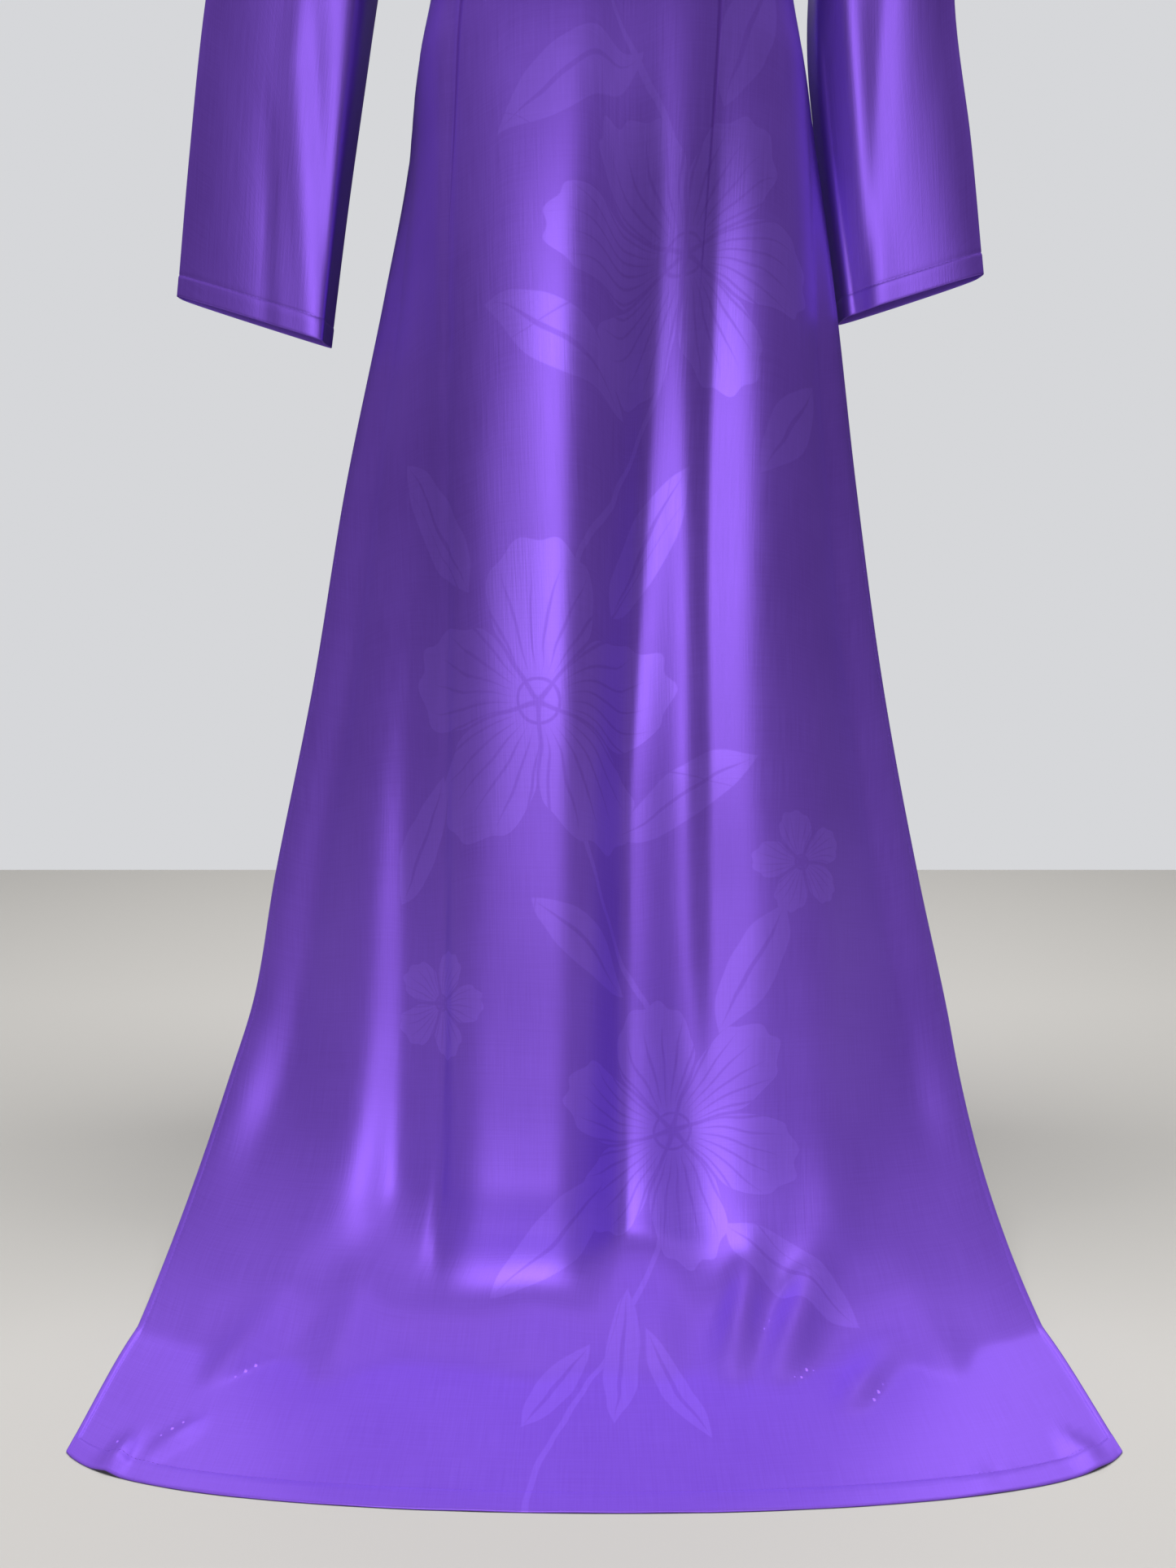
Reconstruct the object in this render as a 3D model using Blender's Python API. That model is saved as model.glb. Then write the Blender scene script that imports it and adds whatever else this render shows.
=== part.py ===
"""A long satin ao dai tunic, hollow and filled out as if worn, with its hem trailing on the floor.

Metres, +Z up. The front faces -Y. The origin lies in the neck opening, level with the
shoulders that hold the tunic up, and the floor is NECK_HEIGHT below it. Every height in a
table is above the floor. Right and left are the wearer's: the right side is at -X.

Each cloth piece is a grid of points on the middle of its cloth, made into a closed wall.
"""

import math

import bmesh
import bpy
import numpy as np

# Overall sizes
NECK_HEIGHT = 1.360
WALL = 0.0015
SEAM_GAP = 0.0003
LYING = WALL / 2  # height of the cloth's middle where it lies on the floor

# Neck seam: a tilted oval, lowest at the front
NECK_HALF_WIDTH = 0.058
NECK_FRONT_Y = -0.068
NECK_BACK_Y = 0.050
NECK_MEAN_HEIGHT = 1.345
NECK_TILT = 0.027
COLLAR_HEIGHT = 0.038
COLLAR_LEAN = 0.005
COLLAR_NOTCH = 0.003  # how far each of its two front ends leans away from the other
COLLAR_NOTCH_REACH = 0.012

# Raglan seams, from the neck seam to the underarm
RAGLAN_FRONT_ANGLE = 50.0  # degrees round the neck from its front
RAGLAN_BACK_ANGLE = 140.0
UNDERARM = (0.150, 0.000, 1.145)
#                  x      y       height
RAGLAN_FRONT = ((0.070, -0.074, 1.275),
                (0.100, -0.083, 1.218),
                (0.132, -0.058, 1.168))
RAGLAN_BACK = ((0.071, 0.066, 1.292),
               (0.106, 0.080, 1.225),
               (0.136, 0.056, 1.170))

# Grid sizes
FRONT_COLUMNS = 32
BACK_COLUMNS = 24
FRONT_SKIRT_ROWS = 25
BACK_SKIRT_ROWS = 20
SIDE_SEAM_ROWS = 8
RAGLAN_ROWS = 8
NECK_STEPS = 4
SLEEVE_RINGS = 18
COLLAR_ROWS = 2
YOKE_SAG = 1.5  # how much lower than their ends the rows above the underarm hang
YOKE_FULLNESS = 0.012  # how far the rows above the underarm swell out
YOKE_FLATTENING = 0.35  # how much less than a right angle each half of the neck row turns

# Body sections, one row each. The edges are the side seams down to the slit, then free
# edges that flare out. turn is how far round each half section turns, as a share of a
# right angle.
#            name        edge    right  left   edge     centre  centre  turn
#                        height  x      x      y        height  y
FRONT_BODY = (
            ("underarm", 1.145,  0.150, 0.150, 0.000,   1.100, -0.115,  1.00),
            ("bust",     1.100,  0.147, 0.147, 0.000,   1.062, -0.108,  1.00),
            ("ribs",     1.050,  0.134, 0.134, 0.000,   1.026, -0.094,  1.00),
            ("waist",    1.000,  0.124, 0.124, 0.000,   0.988, -0.085,  1.00),
            ("belly",    0.953,  0.128, 0.129, 0.000,   0.948, -0.087,  1.00),
            ("hip",      0.900,  0.142, 0.142, 0.000,   0.900, -0.094,  1.00),
            ("slit",     0.843,  0.150, 0.153, 0.000,   0.843, -0.101,  0.98),
            ("thigh",    0.750,  0.169, 0.167, -0.012,  0.750, -0.107,  0.92),
            ("mid",      0.608,  0.204, 0.189, -0.015,  0.608, -0.112,  0.84),
            ("knee",     0.457,  0.235, 0.216, -0.018,  0.457, -0.118,  0.76),
            ("calf",     0.299,  0.272, 0.251, -0.026,  0.299, -0.123,  0.70),
            ("shin",     0.190,  0.294, 0.277, -0.038,  0.184, -0.130,  0.66),
            ("ankle",    0.143,  0.308, 0.284, -0.056,  0.134, -0.136,  0.64),
            ("foot",     0.075,  0.328, 0.297, -0.090,  0.068, -0.153,  0.64),
            ("bend",     0.022,  0.343, 0.310, -0.139,  0.017, -0.184,  0.66),
            ("floor",    LYING,  0.348, 0.316, -0.178,  LYING, -0.222,  0.72),
            ("hem",      LYING,  0.347, 0.320, -0.299,  LYING, -0.347,  0.85),
)
BACK_BODY = (
            ("underarm", 1.145,  0.150, 0.150, 0.000,   1.100, 0.096,   1.00),
            ("bust",     1.100,  0.147, 0.147, 0.000,   1.062, 0.088,   1.00),
            ("ribs",     1.050,  0.134, 0.134, 0.000,   1.026, 0.079,   1.00),
            ("waist",    1.000,  0.124, 0.124, 0.000,   0.988, 0.076,   1.00),
            ("belly",    0.953,  0.128, 0.129, 0.000,   0.948, 0.086,   1.00),
            ("hip",      0.900,  0.142, 0.142, 0.000,   0.900, 0.102,   1.00),
            ("slit",     0.843,  0.150, 0.153, 0.000,   0.843, 0.112,   0.98),
            ("thigh",    0.750,  0.160, 0.158, 0.012,   0.750, 0.118,   0.92),
            ("mid",      0.608,  0.181, 0.171, 0.020,   0.608, 0.123,   0.84),
            ("knee",     0.457,  0.206, 0.190, 0.028,   0.457, 0.130,   0.76),
            ("calf",     0.299,  0.233, 0.214, 0.040,   0.299, 0.138,   0.70),
            ("shin",     0.190,  0.250, 0.231, 0.054,   0.184, 0.149,   0.66),
            ("ankle",    0.143,  0.259, 0.240, 0.066,   0.134, 0.157,   0.64),
            ("foot",     0.075,  0.272, 0.252, 0.092,   0.068, 0.174,   0.64),
            ("bend",     0.022,  0.284, 0.264, 0.128,   0.017, 0.204,   0.66),
            ("floor",    LYING,  0.288, 0.269, 0.160,   LYING, 0.236,   0.72),
            ("hem",      LYING,  0.291, 0.275, 0.280,   LYING, 0.352,   0.85),
)

FLATNESS = 0.62  # of a section: 1 is an ellipse, and less has a flatter front and rounder sides
CURVE_STEPS = 200  # short straight runs along which a section's cloth is measured

# Hanging folds, as soft ridges and troughs in a panel. Each runs through three places down
# the panel and fades in over a stretch above and below its top. Negative depth is a trough.
# Sharpness is the power in its bell curve: 2 is a soft roll, more has a flat top.
FOLD_FADE_BOTTOM = 0.03
CALM_EDGE = 0.16  # share of a half section, beside its edge, over which the folds die out
#             top     fade   x at    x at    x at    bottom  depth   right  left   sharpness
#             height         top     middle  bottom  height          width  width
FRONT_FOLDS = (
            (0.900,  0.18,  -0.068, -0.070, -0.076, 0.030,  0.011,  0.052, 0.048, 4.0),
            (0.860,  0.20,  -0.205, -0.220, -0.268, 0.060,  -0.022, 0.070, 0.090, 2.0),
            (0.440,  0.16,  -0.162, -0.170, -0.195, 0.060,  0.008,  0.022, 0.022, 2.0),
            (0.760,  0.20,  0.006,  0.002,  -0.004, 0.028,  -0.015, 0.046, 0.018, 1.8),
            (0.740,  0.16,  0.044,  0.043,  0.040,  0.040,  0.005,  0.016, 0.018, 2.0),
            (0.880,  0.20,  0.068,  0.070,  0.076,  0.200,  -0.008, 0.026, 0.014, 1.8),
            (0.860,  0.20,  0.200,  0.210,  0.245,  0.060,  -0.028, 0.090, 0.088, 2.2),
            (0.400,  0.16,  0.152,  0.160,  0.172,  0.050,  0.007,  0.020, 0.022, 2.0),
)
BACK_FOLDS = (
            (0.780,  0.14,  -0.105, -0.118, -0.135, 0.070,  -0.011, 0.020, 0.024, 1.8),
            (0.700,  0.14,  -0.050, -0.060, -0.072, 0.060,  0.009,  0.030, 0.030, 2.0),
            (0.740,  0.16,  0.012,  0.006,  0.000,  0.050,  -0.013, 0.026, 0.022, 1.8),
            (0.620,  0.12,  0.060,  0.066,  0.075,  0.080,  0.008,  0.028, 0.028, 2.0),
            (0.800,  0.14,  0.108,  0.118,  0.132,  0.120,  -0.009, 0.024, 0.020, 1.8),
)

# Sleeve rings, each slanting from its outer point to its inner one, with the depths of its
# front and back. The first ring is the raglan loop, the last one the cuff.
#             outer          inner          front  back
#             x      height  x      height  depth  depth
RIGHT_SLEEVE = (
            (0.058,  1.345,  0.150, 1.145,  0.062, 0.058),
            (0.104,  1.335,  0.156, 1.144,  0.062, 0.060),
            (0.148,  1.316,  0.161, 1.138,  0.059, 0.058),
            (0.186,  1.283,  0.163, 1.127,  0.056, 0.056),
            (0.214,  1.235,  0.162, 1.108,  0.053, 0.054),
            (0.246,  1.140,  0.162, 1.063,  0.046, 0.047),
            (0.270,  1.045,  0.166, 1.000,  0.038, 0.039),
            (0.294,  0.949,  0.179, 0.925,  0.031, 0.031),
            (0.313,  0.850,  0.199, 0.820,  0.025, 0.025),
            (0.330,  0.750,  0.218, 0.715,  0.019, 0.019),
)
LEFT_SLEEVE = (
            (0.058,  1.345,  0.150, 1.145,  0.062, 0.058),
            (0.102,  1.335,  0.156, 1.144,  0.062, 0.060),
            (0.142,  1.316,  0.160, 1.138,  0.060, 0.059),
            (0.178,  1.284,  0.162, 1.127,  0.057, 0.057),
            (0.205,  1.235,  0.160, 1.108,  0.054, 0.055),
            (0.229,  1.140,  0.156, 1.063,  0.050, 0.050),
            (0.238,  1.045,  0.149, 1.012,  0.043, 0.043),
            (0.244,  0.944,  0.147, 0.925,  0.035, 0.035),
            (0.262,  0.853,  0.161, 0.830,  0.028, 0.028),
            (0.277,  0.762,  0.178, 0.734,  0.022, 0.022),
)
RAGLAN_BLEND = 0.42  # share of the sleeve over which the raglan loop's shape fades out
SLEEVE_LEAN = 0.50  # how far the cuff's deepest place lies inwards, as a share of its half width

LEAST_SQUARENESS = 0.3  # of a rim to its seam, where the seam gap is worked out
LEAST_COSINE = 0.0001  # at a section's edge, where its slope would have no end
SHARP_ANGLE = 50.0  # degrees, past which an edge isn't shaded smooth

# Satin colours, linear
#                 red    green  blue
VIOLET = (0.205, 0.088, 0.640)
ROUGHNESS = 0.42


def clear_scene():
    for obj in list(bpy.data.objects):
        bpy.data.objects.remove(obj, do_unlink=True)


def satin(name):
    material = bpy.data.materials.new(name)
    material.use_nodes = True
    shader = material.node_tree.nodes["Principled BSDF"]
    shader.inputs["Base Color"].default_value = (*VIOLET, 1.0)
    shader.inputs["Roughness"].default_value = ROUGHNESS
    shader.inputs["Metallic"].default_value = 0.0
    return material


def unit(vectors):
    return vectors / np.linalg.norm(vectors, axis=-1, keepdims=True)


def running_length(points):
    steps = np.linalg.norm(np.diff(points, axis=0), axis=1)
    return np.concatenate(([0.0], np.cumsum(steps)))


def smooth(rows, known, wanted):
    """Rows of values, known at some places, read at the wanted places along smooth curves."""
    rows = np.array(rows, float)
    slopes = np.gradient(rows, known, axis=0)
    first = np.clip(np.searchsorted(known, wanted, side="right") - 1, 0, len(known) - 2)
    span = (known[first + 1] - known[first])[:, None]
    t = (wanted[:, None] - known[first][:, None]) / span
    start = (1 + 2 * t) * (1 - t) ** 2 * rows[first] + t * (1 - t) ** 2 * span * slopes[first]
    end = t * t * (3 - 2 * t) * rows[first + 1] - t * t * (1 - t) * span * slopes[first + 1]
    return start + end


def ease(value):
    value = np.clip(value, 0.0, 1.0)
    return value * value * (3 - 2 * value)


def neck_point(degrees):
    """The neck seam, by degrees round from the front, counted towards the wearer's left."""
    angle = math.radians(degrees)
    middle_y = (NECK_FRONT_Y + NECK_BACK_Y) / 2
    half_depth = (NECK_BACK_Y - NECK_FRONT_Y) / 2
    return (NECK_HALF_WIDTH * math.sin(angle),
            middle_y - half_depth * math.cos(angle),
            NECK_MEAN_HEIGHT - NECK_TILT * math.cos(angle))


def raglan_line(middle_points, neck_angle):
    """A raglan seam on the wearer's left, from the underarm up to the neck seam."""
    points = np.array([UNDERARM, *reversed(middle_points), neck_point(neck_angle)])
    known = running_length(points)
    return smooth(points, known, np.linspace(0.0, known[-1], RAGLAN_ROWS + 1))


def half_section(row, half_width, shares):
    """Half a body section: its points, at shares of its length, and their outward directions."""
    edge_height, _, _, edge_y, centre_height, centre_y, turn = row
    quarter = turn * math.pi / 2
    lowest = max(math.cos(quarter), 0.0) ** FLATNESS
    depth = (centre_y - edge_y) / (1 - lowest)

    def curve(angle):
        x = half_width * np.sin(angle) / math.sin(quarter)
        y = edge_y + depth * (np.maximum(np.cos(angle), 0.0) ** FLATNESS - lowest)
        height = centre_height + (edge_height - centre_height) * (angle / quarter) ** 2
        return np.stack([x, y, height], axis=-1)

    dense = np.linspace(0.0, quarter, CURVE_STEPS + 1)
    length = running_length(curve(dense))
    angle = np.interp(shares * length[-1], length, dense)
    cosine = np.maximum(np.cos(angle), LEAST_COSINE)
    slope_x = half_width * cosine / math.sin(quarter)
    slope_y = depth * FLATNESS * cosine ** (FLATNESS - 1) * np.sin(angle)
    outward = unit(np.stack([slope_y, slope_x, np.zeros_like(angle)], axis=-1))
    return curve(angle), outward * math.copysign(1.0, depth)


def section(row, across):
    """One body section as points, with the outward level direction at each of them."""
    middle = len(across) // 2
    right = half_section(row, row[1], -across[:middle])
    left = half_section(row, row[2], across[middle:])
    mirror = np.array((-1.0, 1.0, 1.0))
    return [np.concatenate([a * mirror, b]) for a, b in zip(right, left)]


def fold_depth(folds, x, height, across):
    """How far the panel's folds move its points outwards."""
    total = np.zeros_like(x)
    for top, fade, x_top, x_middle, x_bottom, bottom, depth, right, left, sharpness in folds:
        down = (top - height) / (top - bottom)
        line = np.interp(down, (0.0, 0.5, 1.0), (x_top, x_middle, x_bottom))
        fade_in = ease((top + fade - height) / (2 * fade))
        fade_out = ease((height - bottom + FOLD_FADE_BOTTOM) / (2 * FOLD_FADE_BOTTOM))
        width = np.where(x < line, right, left)
        total += depth * fade_in * fade_out * np.exp(-np.abs((x - line) / width) ** sharpness)
    return total * ease((1 - np.abs(across)) / CALM_EDGE)


def panel_sections(table, skirt_rows):
    """The sections of a body panel from the hem up to the underarm, evenly spaced."""
    values = np.array([row[1:] for row in reversed(table)], float)
    known = running_length(values[:, [0, 1, 3]])
    slit = [row[0] for row in reversed(table)].index("slit")
    skirt = np.linspace(0.0, known[slit], skirt_rows + 1)[:-1]
    side = np.linspace(known[slit], known[-1], SIDE_SEAM_ROWS + 1)
    sewn = smooth(values, known, side)
    sewn[:, :4] = smooth(values[slit:, :4], known[slit:], side)
    return np.concatenate([smooth(values, known, skirt), sewn])


def body_panel(table, folds, columns, skirt_rows, raglan, neck_angles):
    """The front or back: a grid of rows from the hem up to the neck, in one cut with its skirt."""
    across = np.linspace(-1.0, 1.0, columns + 1)
    grid = []
    for row in panel_sections(table, skirt_rows):
        points, outward = section(row, across)
        points += outward * fold_depth(folds, points[:, 0], points[:, 2], across)[:, None]
        points[:, 2] = np.maximum(points[:, 2], LYING)
        grid.append(points)
    grid += yoke(table[0], across, raglan, neck_angles)
    return np.array(grid)


def yoke(underarm_row, across, raglan, neck_angles):
    """The rows from the underarm to the neck seam, between the two raglan seams."""
    neck = np.array([neck_point(angle) for angle in np.interp(across, (-1, 1), neck_angles)])
    underarm_centre = np.array([0.0, underarm_row[6], underarm_row[5]])
    neck_centre = neck[len(neck) // 2]
    arcs = []
    for step, edge in enumerate(raglan):
        share = (step / RAGLAN_ROWS) ** YOKE_SAG
        centre = underarm_centre + (neck_centre - underarm_centre) * share
        swell = YOKE_FULLNESS * math.sin(math.pi * share)
        centre[1] += math.copysign(swell, neck_centre[1])
        turn = 1.0 - YOKE_FLATTENING * share
        row = (edge[2], edge[0], edge[0], edge[1], centre[2], centre[1], turn)
        arcs.append(section(row, across)[0])
    miss = neck - arcs[-1]
    return [arc + miss * (step / RAGLAN_ROWS) ** 2 for step, arc in enumerate(arcs)][1:]


def sleeve(table, side, raglan_front, raglan_back):
    """A raglan sleeve as closed rings from the raglan loop down to the cuff."""
    neck_angles = np.linspace(RAGLAN_FRONT_ANGLE, RAGLAN_BACK_ANGLE, NECK_STEPS + 1)
    neck_edge = [neck_point(angle) for angle in neck_angles]
    loop = np.array([*raglan_front, *neck_edge[1:], *raglan_back[-2:0:-1]])
    count = len(loop)
    turn = math.pi - 2 * math.pi * np.arange(count) / count
    forwards = np.sin(turn)

    def ring(row, down):
        outer = np.array([row[0], 0.0, row[1]])
        inner = np.array([row[2], 0.0, row[3]])
        outwards = np.cos(turn) - SLEEVE_LEAN * down ** 2 * forwards ** 2
        points = (outer + inner) / 2 + (outer - inner) / 2 * outwards[:, None]
        points[:, 1] -= np.where(forwards > 0, row[4], row[5]) * forwards
        return points

    table = np.array(table)
    known = running_length((table[:, 0:2] + table[:, 2:4]) / 2)
    rows = smooth(table, known, np.linspace(0.0, known[-1], SLEEVE_RINGS + 1))
    miss = loop - ring(rows[0], 0.0)
    grid = []
    for step, row in enumerate(rows):
        down = step / SLEEVE_RINGS
        grid.append(ring(row, down) + miss * (1 - ease(down / RAGLAN_BLEND)))
    return np.array(grid) * (side, 1, 1)


def collar(front_top, back_top):
    """A stand collar whose two ends meet at the centre front."""
    middle = len(front_top) // 2
    side_angles = np.linspace(RAGLAN_FRONT_ANGLE, RAGLAN_BACK_ANGLE, NECK_STEPS + 1)
    left_side = np.array([neck_point(angle) for angle in side_angles[1:-1]])
    right_side = left_side[::-1] * (-1, 1, 1)
    seam = np.concatenate([front_top[middle:], left_side, back_top[::-1], right_side,
                           front_top[:middle + 1]])
    axis = seam.mean(axis=0)
    inwards = unit((axis - seam) * (1, 1, 0))
    distance = running_length(seam)
    from_end = np.minimum(distance, distance[-1] - distance)
    sideways = np.exp(-from_end / COLLAR_NOTCH_REACH) * COLLAR_NOTCH
    sideways[len(seam) // 2:] *= -1
    grid = []
    for step in range(COLLAR_ROWS + 1):
        up = step / COLLAR_ROWS
        row = seam + inwards * COLLAR_LEAN * up
        row[:, 2] += COLLAR_HEIGHT * up
        row[:, 0] += sideways * up
        grid.append(row)
    return np.array(grid)


def grid_normals(grid, ring, outside):
    """Unit normals over a grid, on the side of the outside point for its middle point."""
    if ring:
        across = np.roll(grid, -1, axis=1) - np.roll(grid, 1, axis=1)
    else:
        across = np.gradient(grid, axis=1)
    normals = unit(np.cross(across, np.gradient(grid, axis=0)))
    row, column = grid.shape[0] // 2, grid.shape[1] // 2
    if np.dot(normals[row, column], np.array(outside) - grid[row, column]) < 0:
        normals = -normals
    return normals


def share_normals(pieces):
    """Where pieces meet at a seam, gives their walls the same mean normal."""
    sums = {}
    for piece in pieces:
        for point, normal in zip(piece["grid"].reshape(-1, 3), piece["normals"].reshape(-1, 3)):
            key = tuple(np.round(point, 6) + 0.0)
            sums[key] = sums.get(key, 0) + normal
    for piece in pieces:
        keys = [tuple(np.round(point, 6) + 0.0) for point in piece["grid"].reshape(-1, 3)]
        shared = unit(np.array([sums[key] for key in keys]))
        piece["normals"] = shared.reshape(piece["grid"].shape)


def drawn_in(edge, inner, normals):
    """How far an edge's points move so that its rim lies half a seam gap inside the seam."""
    along = unit(np.gradient(edge, axis=0))
    inwards = inner - edge
    inwards = unit(inwards - along * np.sum(inwards * along, axis=1, keepdims=True))
    squareness = np.abs(np.sum(inwards * np.cross(along, normals), axis=1, keepdims=True))
    return inwards * SEAM_GAP / 2 / np.maximum(squareness, LEAST_SQUARENESS)


def open_seams(grid, normals, ring):
    moved = grid.copy()
    for edge, inner in ((0, 1), (-1, -2)):
        moved[edge] += drawn_in(grid[edge], grid[inner], normals[edge])
        if not ring:
            moved[:, edge] += drawn_in(grid[:, edge], grid[:, inner], normals[:, edge])
    return moved


def wall(piece):
    """Makes one closed wall from a piece's middle grid and its normals."""
    grid = open_seams(piece["grid"], piece["normals"], piece["ring"])
    rows, columns = grid.shape[:2]
    mesh = bmesh.new()

    def layer(offset):
        points = (grid + piece["normals"] * offset).reshape(-1, 3) - (0.0, 0.0, NECK_HEIGHT)
        return [mesh.verts.new(point) for point in points]

    outer, inner = layer(WALL / 2), layer(-WALL / 2)
    last_column = columns if piece["ring"] else columns - 1
    for verts in (outer, inner):
        for row in range(rows - 1):
            for column in range(last_column):
                after = (column + 1) % columns
                corners = (row * columns + column, row * columns + after,
                           (row + 1) * columns + after, (row + 1) * columns + column)
                mesh.faces.new([verts[corner] for corner in corners])
    rims = [[row * columns + column for column in range(columns)] for row in (0, rows - 1)]
    if piece["ring"]:
        rims = [rim + rim[:1] for rim in rims]
    else:
        rims += [[row * columns + column for row in range(rows)] for column in (0, columns - 1)]
    seam_points = piece["grid"].reshape(-1, 3)
    for rim in rims:
        for pair in zip(rim, rim[1:]):
            # Both sides of a seam are split from the same corner, so that they stay parallel.
            low, high = sorted(pair, key=lambda corner: seam_points[corner][2])
            mesh.faces.new((outer[low], outer[high], inner[high]))
            mesh.faces.new((outer[low], inner[high], inner[low]))
    bmesh.ops.recalc_face_normals(mesh, faces=mesh.faces)
    data = bpy.data.meshes.new(piece["name"])
    mesh.to_mesh(data)
    mesh.free()
    data.shade_smooth()
    data.set_sharp_from_angle(angle=math.radians(SHARP_ANGLE))
    data.materials.append(satin(piece["name"] + " satin"))
    bpy.context.scene.collection.objects.link(bpy.data.objects.new(piece["name"], data))


def cut_piece(name, grid, outside, ring=False):
    return {"name": name, "grid": grid, "ring": ring,
            "normals": grid_normals(grid, ring, outside)}


def tunic():
    left_front_seam = raglan_line(RAGLAN_FRONT, RAGLAN_FRONT_ANGLE)
    left_back_seam = raglan_line(RAGLAN_BACK, RAGLAN_BACK_ANGLE)
    front = body_panel(FRONT_BODY, FRONT_FOLDS, FRONT_COLUMNS, FRONT_SKIRT_ROWS, left_front_seam,
                       (-RAGLAN_FRONT_ANGLE, RAGLAN_FRONT_ANGLE))
    back = body_panel(BACK_BODY, BACK_FOLDS, BACK_COLUMNS, BACK_SKIRT_ROWS, left_back_seam,
                      (-RAGLAN_BACK_ANGLE, RAGLAN_BACK_ANGLE - 360))
    return [
        cut_piece("front", front, (0.0, -9.0, 1.0)),
        cut_piece("back", back, (0.0, 9.0, 1.0)),
        cut_piece("sleeve_right", sleeve(RIGHT_SLEEVE, -1, left_front_seam, left_back_seam),
                  (-9.0, 0.0, 1.0), ring=True),
        cut_piece("sleeve_left", sleeve(LEFT_SLEEVE, 1, left_front_seam, left_back_seam),
                  (9.0, 0.0, 1.0), ring=True),
        cut_piece("collar", collar(front[-1], back[-1]), (0.0, 9.0, 1.36)),
    ]


clear_scene()
cut_pieces = tunic()
share_normals(cut_pieces)
for cut in cut_pieces:
    wall(cut)
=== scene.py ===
# %% [markdown]
# A satin ao dai tunic, filled out as if worn. It hangs from its neck, and its long front
# and back panels trail on the floor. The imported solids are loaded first: they say where every
# cloth piece lies. Each solid is then replaced by a thin shell of cloth with finer folds, hems,
# seams and stitches. Everything is in metres, and the origin lies in the neck opening.

# %% Load the solids
import math

import bpy
import numpy as np
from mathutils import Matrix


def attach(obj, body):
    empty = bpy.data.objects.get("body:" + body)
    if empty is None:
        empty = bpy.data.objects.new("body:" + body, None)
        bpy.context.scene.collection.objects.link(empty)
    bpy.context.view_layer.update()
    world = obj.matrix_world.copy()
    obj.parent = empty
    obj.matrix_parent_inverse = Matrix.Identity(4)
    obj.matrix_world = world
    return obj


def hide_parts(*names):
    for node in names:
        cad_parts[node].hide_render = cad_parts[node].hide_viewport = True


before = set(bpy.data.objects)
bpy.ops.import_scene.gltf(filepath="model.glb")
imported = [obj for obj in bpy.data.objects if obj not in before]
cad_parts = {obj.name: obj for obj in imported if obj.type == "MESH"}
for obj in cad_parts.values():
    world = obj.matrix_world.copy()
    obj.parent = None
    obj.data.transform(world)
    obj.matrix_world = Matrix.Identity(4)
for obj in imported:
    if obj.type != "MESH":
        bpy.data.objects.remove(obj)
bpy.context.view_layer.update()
print("solids:", sorted(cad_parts))

# %% [markdown]
# The camera comes first, because it settles which creases show. It stands low, a little under
# a metre in front of the skirt, and looks down by 11 degrees. Its focal length is given in
# pixels of a frame 1927 high, which the lens turns into millimetres on a 36 mm sensor.

# %% Camera
NECK_HEIGHT = 1.360
CAMERA_PLACE = (-0.0175, -0.94, 0.555 - NECK_HEIGHT)
CAMERA_DIP = 11.0
FOCAL_PIXELS = 1430
FRAME_HEIGHT = 1927
SENSOR = 36.0


def new_object(name, data):
    """An object that shows a mesh, a light or a camera in the scene."""
    made = bpy.data.objects.new(name, data)
    bpy.context.scene.collection.objects.link(made)
    return made


camera_data = bpy.data.cameras.new("camera")
camera_data.sensor_width = SENSOR
camera_data.lens = FOCAL_PIXELS / FRAME_HEIGHT * SENSOR
camera = new_object("camera", camera_data)
camera.location = CAMERA_PLACE
camera.rotation_euler = (math.radians(90 - CAMERA_DIP), 0.0, 0.0)
bpy.context.scene.camera = camera
print("lens", round(camera_data.lens, 2), "mm")

# %% [markdown]
# The body panels are lofted from level sections, as a dressmaker's form is. Each row of a
# table is one section: where its two edges lie, where its middle lies, and how far round each
# half turns. From the slit up the edges are side seams, and below it they are free and flare
# out. Heights are above the floor, and right means the wearer's right, at -X. The back's
# sections lie at the same heights as the front's, so its table leaves those out.

# %% Body sections
CLOTH = 0.0006  # thickness away from hems and seams
LYING = 0.00075  # height of the cloth's middle where it lies on the floor
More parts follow.
